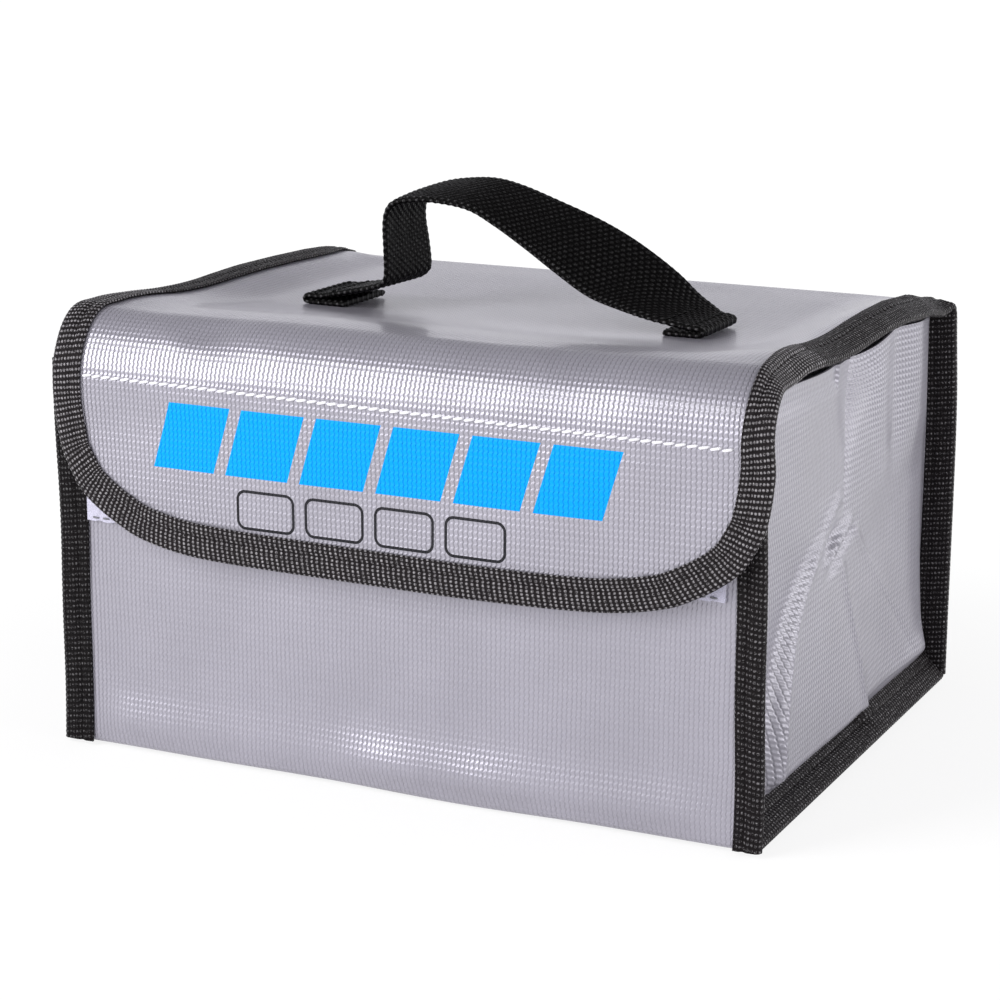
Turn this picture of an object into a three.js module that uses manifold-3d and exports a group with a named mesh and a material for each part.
// Fire-resistant battery charging and storage bag: a box-shaped soft bag of
// coated woven glass cloth, lined, bound with folded black tape along every
// seam, with a lid hinged along the back top edge, a front flap that folds down
// over the front panel, a hook and loop closure and a webbing carry handle.
//
// Millimetres, +Z up, front of the bag towards -Y, +X to the right.
// Origin: centre of the base, on the ground plane.

import * as THREE from 'three';
import { mergeVertices } from 'three/addons/utils/BufferGeometryUtils.js';
import Module from 'manifold-3d';

const wasm = await Module();
wasm.setup();

// ---------------------------------------------------------------- dimensions
// Layers
const CLOTH = 0.7;          // outer glass cloth
const LINER = 0.5;          // inner lining cloth
const TAPE = 0.8;           // binding tape, one layer
const GAP = 0.3;            // running gap between stacked layers
const BIND_OUT = GAP + TAPE;                    // binding's outer face over the cloth
const STACK = CLOTH + GAP + LINER + GAP;        // outer cloth face to what lies in the lining
const BIND_IN = STACK + 0.6;                    // binding's inner face under the cloth face

// Box body
const HALF_D = 84.5;        // half depth, outer faces of front and back panels
const HALF_SEAM = 98.8;     // half width inside the side gusset walls
const HALF_EDGE = 107.5;    // half width at the raw cloth edge inside a seam
const HALF_FIN = HALF_EDGE + BIND_OUT;          // half width over the bound seam fins
const FIN_INNER = 98.6;     // inner edge of the binding on a front or back face
const WALL_OUT = HALF_SEAM + CLOTH;             // outer face of a gusset wall

const H_MOUTH = 118;        // height of the mouth, front and side panels
const H_FIN_FRONT = 114.8;  // top of the front seam bindings
const H_FIN_BACK = 118.2;   // top of the back seam bindings
const H_BACK = 119.6;       // top of the back panel, just under the lid hinge

// Half depths of the layers inside the front and back panels
const Y_PANEL_IN = HALF_D - CLOTH;              // inner face of the panel cloth
const Y_FLANGE = Y_PANEL_IN - GAP;              // outer face of gusset flange and lining
const Y_FLANGE_IN = Y_FLANGE - CLOTH;
const Y_LEG_OUT = Y_FLANGE_IN - GAP;            // hidden leg of an upright binding
const Y_LEG_IN = Y_LEG_OUT - TAPE;
const Y_BOTTOM = Y_LEG_IN - 0.7;                // ends of the bottom seams

// Lid and flap
const LID_HINGE_Z = 121.5;  // hinge line height
const HINGE_INSET = 0.3;    // back edge of the lid, in front of y = +HALF_D
const FLAP_Y = -89.1;       // outer face of the closed flap
const FLAP_SHEET_Z0 = 55;   // start of the flap profile, below the flap's outline
const CORNER_R = 18;        // rounding where the lid turns down into the flap
const CORNER_Y = FLAP_Y + CORNER_R;
const CORNER_Z = 110.3;     // height of the rounding's centre
const FOLD_ANGLE = 135;     // place of the fold on the rounding, degrees from +Y
const FOLD_HALF_GAP = 0.6;  // degrees left open on each side of the fold

const LID_HALF_W = 109;     // half width of lid and flap over their binding
const LID_CLOTH_HALF_W = LID_HALF_W - BIND_OUT;
const LID_TAPE_W = 9.5;     // visible width of the folded binding

// Closure
const LOOP_Z0 = 68.5;       // loop strip on the front panel, lower edge
const LOOP_H = 38;
const LOOP_HALF = 97;       // half length
const LOOP_T = 1.2;
const HOOK_Z0 = 74.6;       // hook strip in the flap, lower edge
const HOOK_H = 36;
const HOOK_HALF = 74;       // half length, clear of the round corners
const HOOK_T = 1.0;

// Handle
const STRAP_W = 27;         // webbing width
const STRAP_T = 1.8;        // webbing thickness
const SWING_Z = 124;        // height of the handle's swing axis
const SWING_CLEAR = 30;     // degrees of swing the strap must clear
const SWING_GAP = 3.1;      // clearance over the swing axis plane at full swing
const STRAP_Z0 = 128.4;     // lowest point of the swinging arch
const FOOT_T = 2.4;         // thickness of a sewn foot

const SIDES = [['left', -1], ['right', 1]];     // name and sign of x

// ----------------------------------------------------------- solids and unions
// Extrusion along z carried to x: (x, y, z) goes to (z, x, y).
const TO_X = new THREE.Matrix4().set(0, 0, 1, 0, 1, 0, 0, 0, 0, 1, 0, 0, 0, 0, 0, 1);
// Extrusion along z carried to -y: (x, y, z) goes to (x, -z, y).
const TO_Y = new THREE.Matrix4().set(1, 0, 0, 0, 0, 0, -1, 0, 0, 1, 0, 0, 0, 0, 0, 1);

const vectors = (points) => points.map(([a, b]) => new THREE.Vector2(a, b));

// Closed section in (x, y), drawn from z0 to z1.
function alongZ(points, z0, z1, hole) {
  const shape = new THREE.Shape(vectors(points));
  if (hole) shape.holes.push(new THREE.Path(vectors(hole)));
  return new THREE.ExtrudeGeometry(shape, { depth: z1 - z0, bevelEnabled: false })
    .translate(0, 0, z0);
}

// Closed section in (y, z), drawn from x0 to x1.
const alongX = (points, x0, x1) => alongZ(points, x0, x1).applyMatrix4(TO_X);

// Closed section in (x, z), drawn from y0 to y1.
const alongY = (points, y0, y1) => alongZ(points, -y1, -y0).applyMatrix4(TO_Y);

function solid(geometry) {
  geometry.deleteAttribute('normal');
  geometry.deleteAttribute('uv');
  const merged = mergeVertices(geometry, 1e-4);
  return new wasm.Manifold(new wasm.Mesh({
    numProp: 3,
    vertProperties: Float32Array.from(merged.attributes.position.array),
    triVerts: Uint32Array.from(merged.index.array),
  }));
}

function geometryOf(manifold) {
  const mesh = manifold.getMesh();
  const positions = Float32Array.from(mesh.vertProperties);
  const geometry = new THREE.BufferGeometry();
  geometry.setAttribute('position', new THREE.BufferAttribute(positions, 3));
  geometry.setIndex(new THREE.BufferAttribute(Uint32Array.from(mesh.triVerts), 1));
  return geometry;
}

const join = (a, b) => geometryOf(solid(a).add(solid(b)));
const cut = (a, b) => geometryOf(solid(a).subtract(solid(b)));
const common = (a, b) => geometryOf(solid(a).intersect(solid(b)));

// ------------------------------------------------------------ outlines and lines
const rect = (a0, b0, a1, b1) => [[a0, b0], [a1, b0], [a1, b1], [a0, b1]];

// Points with each coordinate multiplied by a sign, to mirror them.
const signed = (points, signA, signB = 1) => points.map(([a, b]) => [signA * a, signB * b]);

// Open polyline moved to its left by the given distance.
function offset(line, distance) {
  return line.map(([a, b], i) => {
    const before = line[Math.max(0, i - 1)];
    const after = line[Math.min(line.length - 1, i + 1)];
    const da = after[0] - before[0];
    const db = after[1] - before[1];
    const length = Math.hypot(da, db);
    return [a - (db / length) * distance, b + (da / length) * distance];
  });
}

// Closed section between two offsets of an open polyline.
const band = (line, from, to) => [...offset(line, from), ...offset(line, to).reverse()];

function spline(points, count) {
  return new THREE.SplineCurve(vectors(points)).getSpacedPoints(count).map(({ x, y }) => [x, y]);
}

// Arc of the front turn in (y, z), from one angle to another in degrees.
function cornerArc(start, end, steps) {
  return Array.from({ length: steps + 1 }, (_, i) => {
    const angle = THREE.MathUtils.degToRad(start + ((end - start) * i) / steps);
    return [CORNER_Y + CORNER_R * Math.cos(angle), CORNER_Z + CORNER_R * Math.sin(angle)];
  });
}

// A row of stitches as one thread in (x, y), centred on x = 0: humps towards
// the front on a thin run whose back lies at y = back.
function stitchRow({ length, pitch, back, low, high }) {
  const count = Math.floor(length / pitch);
  const start = (-count * pitch) / 2;
  const row = [[start, back], [start + count * pitch, back]];
  for (let i = count - 1; i >= 0; i--) {
    const x = start + i * pitch;
    row.push(
      [x + pitch * 0.86, back - low],
      [x + pitch * 0.72, back - high],
      [x + pitch * 0.28, back - high],
      [x + pitch * 0.14, back - low],
    );
  }
  return row;
}

// --------------------------------------------------------- materials and groups
const MATERIALS = {
  cloth: { color: 0xb2afba, roughness: 0.38, metalness: 0.35 },
  liner: { color: 0x9c9ba2, roughness: 0.6, metalness: 0.15 },
  tape: { color: 0x17171a, roughness: 0.85, metalness: 0 },
  webbing: { color: 0x141416, roughness: 0.8, metalness: 0 },
  loop: { color: 0xd4d2e2, roughness: 0.95, metalness: 0 },
  hook: { color: 0xb9b8c2, roughness: 0.7, metalness: 0 },
  lightThread: { color: 0xe6e5ea, roughness: 0.7, metalness: 0 },
  greyThread: { color: 0x6b6a70, roughness: 0.7, metalness: 0 },
  blackThread: { color: 0x0d0d0f, roughness: 0.7, metalness: 0 },
};

const bag = new THREE.Group();
const body = new THREE.Group();
const lid = new THREE.Group();
const flap = new THREE.Group();
const handle = new THREE.Group();
bag.add(body, lid, flap, handle);

function put(parent, name, material, geometry) {
  const mesh = new THREE.Mesh(geometry, new THREE.MeshStandardMaterial(MATERIALS[material]));
  mesh.name = name;
  parent.add(mesh);
}

// ------------------------------------------------------- front and back panels
put(body, 'front_panel', 'cloth',
  alongY(rect(-HALF_EDGE, 0, HALF_EDGE, H_MOUTH), -HALF_D, -Y_PANEL_IN));

// The back panel rises between its seams to a tab under the lid hinge.
const TAB_HALF_W = 98;
const TAB_OVERLAP = 10;
put(body, 'back_panel', 'cloth', join(
  alongY(rect(-HALF_EDGE, 0, HALF_EDGE, H_FIN_BACK), Y_PANEL_IN, HALF_D),
  alongY(rect(-TAB_HALF_W, H_FIN_BACK - TAB_OVERLAP, TAB_HALF_W, H_BACK), Y_PANEL_IN, HALF_D),
));

// ---------------------------------------------------------------- bottom panel
// The bottom cloth lies on the ground and steps up at the sides over the
// lower leg of the seam binding.
const STEP_X = 97;                  // half width at the top of the step
const STEP_Z = TAPE + GAP;          // underside of the raised cloth
const STEP_TOP = STEP_Z + CLOTH;
const stepUnder = [[-STEP_X, STEP_Z], [-94, 0], [94, 0], [STEP_X, STEP_Z]];
const stepOver = [[STEP_X, STEP_TOP], [93.6, CLOTH], [-93.6, CLOTH], [-STEP_X, STEP_TOP]];
const bottomWide = [
  [-HALF_EDGE, STEP_Z], ...stepUnder, [HALF_EDGE, STEP_Z],
  [HALF_EDGE, STEP_TOP], ...stepOver, [-HALF_EDGE, STEP_TOP],
];
put(body, 'bottom_panel', 'cloth', join(
  alongY(bottomWide, -Y_BOTTOM, Y_BOTTOM),
  alongY([...stepUnder, ...stepOver], -Y_FLANGE, Y_FLANGE),
));

// ---------------------------------------------------------------- side gussets
// A wall with a flange turned out along the front, back and bottom, where it is
// sewn to the neighbouring panel.
const GUSSET_Z0 = 5.6;
const gussetPlan = [                // (x, y)
  [HALF_SEAM, -Y_FLANGE], [HALF_EDGE, -Y_FLANGE],
  [HALF_EDGE, -Y_FLANGE_IN], [WALL_OUT, -Y_FLANGE_IN],
  [WALL_OUT, Y_FLANGE_IN], [HALF_EDGE, Y_FLANGE_IN],
  [HALF_EDGE, Y_FLANGE], [HALF_SEAM, Y_FLANGE],
];
const gussetFoot = [                // (x, z)
  [HALF_SEAM, 5.5], [HALF_EDGE, 2.5], [HALF_EDGE, 3.2], [WALL_OUT, 6.1], [HALF_SEAM, 6.3],
];
for (const [side, sign] of SIDES) {
  put(body, `${side}_side_panel`, 'cloth', join(
    alongZ(signed(gussetPlan, sign), GUSSET_Z0, H_MOUTH),
    alongY(signed(gussetFoot, sign), -Y_BOTTOM, Y_BOTTOM),
  ));
}

// -------------------------------------------------------------------- linings
const LINING_TOP = H_MOUTH - 1;
const LINING_HALF_D = 82.5;         // half depth of side and bottom linings
const SIDE_LINING_X = HALF_SEAM - GAP;
const Y_LINING_IN = Y_FLANGE - LINER;
const faceLining = rect(-97.6, 1.9, 97.6, LINING_TOP);
const sideLining = rect(SIDE_LINING_X - LINER, 2.2, SIDE_LINING_X, LINING_TOP);
const bottomLining = rect(-93, CLOTH + GAP, 93, CLOTH + GAP + LINER);

put(body, 'front_lining', 'liner', alongY(faceLining, -Y_FLANGE, -Y_LINING_IN));
put(body, 'back_lining', 'liner', alongY(faceLining, Y_LINING_IN, Y_FLANGE));
for (const [side, sign] of SIDES) {
  put(body, `${side}_side_lining`, 'liner',
    alongY(signed(sideLining, sign), -LINING_HALF_D, LINING_HALF_D));
}
put(body, 'bottom_lining', 'liner', alongY(bottomLining, -LINING_HALF_D, LINING_HALF_D));

// --------------------------------------------------------------- seam bindings
// Folded tape over the upright seams: a channel with a long visible leg on the
// front or back face and a shorter one against the gusset. Front right, (x, y).
const finPlan = [
  [FIN_INNER, -(HALF_D + BIND_OUT)], [HALF_FIN, -(HALF_D + BIND_OUT)],
  [HALF_FIN, -Y_LEG_IN], [WALL_OUT + GAP, -Y_LEG_IN],
  [WALL_OUT + GAP, -Y_LEG_OUT], [HALF_FIN - TAPE, -Y_LEG_OUT],
  [HALF_FIN - TAPE, -(HALF_D + GAP)], [FIN_INNER, -(HALF_D + GAP)],
];
for (const [face, signY, top] of [['front', 1, H_FIN_FRONT], ['back', -1, H_FIN_BACK]]) {
  for (const [side, sign] of SIDES) {
    put(body, `${face}_${side}_seam_binding`, 'tape',
      alongZ(signed(finPlan, sign, signY), 0, top));
  }
}

// Folded tape over the bottom side seams, splayed down to the ground. (x, z)
const footBinding = [
  [97.3, 0], [HALF_FIN, 0], [HALF_FIN, 3.9], [107.9, 4.4], [WALL_OUT + GAP, 7.3],
  [WALL_OUT + GAP, 6.5], [HALF_FIN - TAPE, 3.6], [HALF_FIN - TAPE, TAPE], [97.3, TAPE],
];
for (const [side, sign] of SIDES) {
  put(body, `bottom_${side}_seam_binding`, 'tape',
    alongY(signed(footBinding, sign), -(Y_BOTTOM + GAP), Y_BOTTOM + GAP));
}

// ----------------------------------------------------------------- loop strip
// Loop half of the closure on the front panel, and the row of thread along its
// lower edge.
const LOOP_BACK_Y = -(HALF_D + GAP);
const LOOP_FRONT_Y = LOOP_BACK_Y - LOOP_T;
const LOOP_STITCH_Z0 = LOOP_Z0 + 1.4;
const LOOP_THREAD_W = 0.6;
put(body, 'loop_strip', 'loop', alongY(
  rect(-LOOP_HALF, LOOP_Z0, LOOP_HALF, LOOP_Z0 + LOOP_H), LOOP_FRONT_Y, LOOP_BACK_Y,
));
const loopRow = stitchRow({
  length: 188, pitch: 4, back: LOOP_FRONT_Y - 0.15, low: 0.12, high: 0.26,
});
put(body, 'loop_strip_stitching', 'greyThread',
  alongZ(loopRow, LOOP_STITCH_Z0, LOOP_STITCH_Z0 + LOOP_THREAD_W));

// --------------------------------------------------------------------- the lid
// Outer face of the lid in (y, z), from the fold on the front turn back to the
// hinge, so that the left-hand normal points up and out.
const lidLine = [
  ...cornerArc(FOLD_ANGLE - FOLD_HALF_GAP, 90, 5),
  ...spline([
    [CORNER_Y, CORNER_Z + CORNER_R], [-52, 127.4], [-32, 125.0], [-12, 122.9],
    [10, 122.1], [45, 121.7], [HALF_D - HINGE_INSET, LID_HINGE_Z],
  ], 16).slice(1),
];
const lidSheet = (from, to) => alongX(band(lidLine, from, to),
  -LID_CLOTH_HALF_W, LID_CLOTH_HALF_W);
put(lid, 'lid_panel', 'cloth', lidSheet(0, -CLOTH));
put(lid, 'lid_lining', 'liner', lidSheet(-CLOTH - GAP, -CLOTH - GAP - LINER));

// Side edge bindings: strips slotted for the cloth and lining, with the slot
// run out past both ends of the lid.
const [lidFront] = lidLine;
const lidSlotLine = [
  [lidFront[0] - 2, lidFront[1] - 2], ...lidLine, [HALF_D + 3, LID_HINGE_Z],
];
for (const [side, sign] of SIDES) {
  const middle = sign * (LID_HALF_W - LID_TAPE_W / 2);
  put(lid, `lid_${side}_edge_binding`, 'tape', cut(
    alongX(band(lidLine, BIND_OUT, -BIND_IN), middle - LID_TAPE_W / 2, middle + LID_TAPE_W / 2),
    alongX(band(lidSlotLine, GAP, -STACK), -(LID_HALF_W - TAPE), LID_HALF_W - TAPE),
  ));
}

// ------------------------------------------------------------- feet of the handle
// The webbing's ends folded double on the lid, each with a box stitch: a frame
// with a cross, lying on the foot.
const FEET = { left: [-66, -43.5], right: [43.5, 66] };   // x range of each foot
const FRAME_HALF_D = 10.5;
const FRAME_W = 0.9;                // width of the frame's stitch line
const BAR_INSET = 0.2;              // ends of the cross inside the frame's outer edge
const BAR_HALF_D = 10;
const BAR_HALF_W = 0.5;             // half width of a cross bar, along y
const BOX_STITCH_T = 0.5;
const CUTTER_Z = [100, 150];        // upright cutters, from under to over the lid
const lidMiddle = lidLine.filter(([y]) => Math.abs(y) < 30);

function boxStitch(x0, x1) {
  const frame = alongZ(
    rect(x0, -FRAME_HALF_D, x1, FRAME_HALF_D), ...CUTTER_Z,
    rect(x0 + FRAME_W, -FRAME_HALF_D + FRAME_W, x1 - FRAME_W, FRAME_HALF_D - FRAME_W),
  );
  const start = x0 + BAR_INSET;
  const end = x1 - BAR_INSET;
  const bar = (sign) => {
    const y = sign * BAR_HALF_D;
    return alongZ([
      [start, -y - BAR_HALF_W], [end, y - BAR_HALF_W],
      [end, y + BAR_HALF_W], [start, -y + BAR_HALF_W],
    ], ...CUTTER_Z);
  };
  const upright = join(join(frame, bar(1)), bar(-1));
  const under = GAP + FOOT_T + GAP;
  const layer = alongX(band(lidMiddle, under, under + BOX_STITCH_T), x0 - 10, x1 + 10);
  return common(upright, layer);
}

for (const [side, [x0, x1]] of Object.entries(FEET)) {
  put(lid, `handle_${side}_foot`, 'webbing', common(
    alongX(band(lidMiddle, GAP, GAP + FOOT_T), x0, x1),
    alongZ(rect(x0 - 1, -STRAP_W / 2, x1 + 1, STRAP_W / 2), ...CUTTER_Z),
  ));
  put(lid, `handle_${side}_stitching`, 'blackThread', boxStitch(x0 + 4, x1 - 2.5));
}

// -------------------------------------------------------------------- the flap
// Outer face of the flap in (y, z), from below its lower edge up to the fold.
const flapLine = [
  [FLAP_Y, FLAP_SHEET_Z0],
  ...cornerArc(180, FOLD_ANGLE + FOLD_HALF_GAP, 6),
];

// Outline of the closed flap over its binding, in (x, z), right half from the
// top down to the middle of the lower edge: big round lower corners.
const flapEdge = spline([
  [LID_HALF_W, 116], [LID_HALF_W, 103], [107.4, 91], [105, 84.9], [100.9, 78.2], [95, 73.2],
  [88.4, 69.2], [80, 65.5], [66, 62.7], [50, 61.7], [25, 61.3], [0, 61.2],
], 26);

// Upright block with the flap's outline moved inward, closed above the fold.
function flapBlock(inset) {
  const x = LID_HALF_W - inset;
  const lower = offset(flapEdge, -inset).slice(1);
  lower.at(-1)[0] = 0;
  const half = [[x, 150], [x, flapEdge[0][1]], ...lower];
  return alongY([...signed(half, -1), ...half.reverse().slice(1)], -100, -60);
}

// Layer between two offsets of a profile, trimmed to the inset outline.
const flapSheet = (line, from, to, inset) => common(
  alongX(band(line, from, to), -120, 120),
  flapBlock(inset),
);
put(flap, 'flap_panel', 'cloth', flapSheet(flapLine, 0, -CLOTH, BIND_OUT));
put(flap, 'flap_lining', 'liner',
  flapSheet(flapLine, -CLOTH - GAP, -CLOTH - GAP - LINER, BIND_OUT));

// Edge binding: a rim slotted for the cloth and lining, open at the fold.
const flapTop = flapLine.at(-1);
const flapSlotLine = [...flapLine, [flapTop[0] + 2, flapTop[1] + 2]];
put(flap, 'flap_edge_binding', 'tape', cut(
  cut(flapSheet(flapLine, BIND_OUT, -BIND_IN, 0), flapBlock(LID_TAPE_W)),
  flapSheet(flapSlotLine, GAP, -STACK, TAPE),
));

// Hook half of the closure inside the flap.
const HOOK_Y = FLAP_Y + STACK;
put(flap, 'hook_strip', 'hook', alongY(
  rect(-HOOK_HALF, HOOK_Z0, HOOK_HALF, HOOK_Z0 + HOOK_H), HOOK_Y, HOOK_Y + HOOK_T,
));

// Light top-stitch row across the flap, over the upper edge of the hook strip.
const TOP_STITCH_Z = 109.2;
const TOP_THREAD_HALF_W = 0.4;
const topRow = stitchRow({ length: 196, pitch: 4.2, back: FLAP_Y - GAP, low: 0.15, high: 0.5 });
put(flap, 'flap_top_stitching', 'lightThread',
  alongZ(topRow, TOP_STITCH_Z - TOP_THREAD_HALF_W, TOP_STITCH_Z + TOP_THREAD_HALF_W));

// ------------------------------------------------------------------ the handle
// Webbing arch in (x, z): steep at its left foot, leaning over to a long slope
// on the right.
const archLine = spline([
  [-39, 126.6], [-39.3, 138], [-38.6, 148], [-36.4, 153.4], [-31, 156.4],
  [-23, 157.7], [-15, 157.3], [-7, 155], [4, 149.6], [14, 145.2],
  [27, 138], [38, 132.2], [47, 128.4], [52, 126.6],
], 34);

// The arch's lower ends are narrowed, so that it clears the lid through its
// swing. Outline in (y, z).
const swingSin = Math.sin(THREE.MathUtils.degToRad(SWING_CLEAR));
const swingCos = Math.cos(THREE.MathUtils.degToRad(SWING_CLEAR));
const STRAP_HALF_W = STRAP_W / 2;
const ARCH_TOP = 170;               // over the top of the arch
const endHalfW = (swingCos * (STRAP_Z0 - SWING_Z) - SWING_GAP) / swingSin;
const fullWidthZ = SWING_Z + (STRAP_HALF_W * swingSin + SWING_GAP) / swingCos;
const taper = [
  [-endHalfW, STRAP_Z0], [endHalfW, STRAP_Z0], [STRAP_HALF_W, fullWidthZ],
  [STRAP_HALF_W, ARCH_TOP], [-STRAP_HALF_W, ARCH_TOP], [-STRAP_HALF_W, fullWidthZ],
];
put(handle, 'handle_strap', 'webbing', common(
  alongY(band(archLine, STRAP_T / 2, -STRAP_T / 2), -STRAP_HALF_W - 1, STRAP_HALF_W + 1),
  alongX(taper, -80, 80),
));

export default bag;
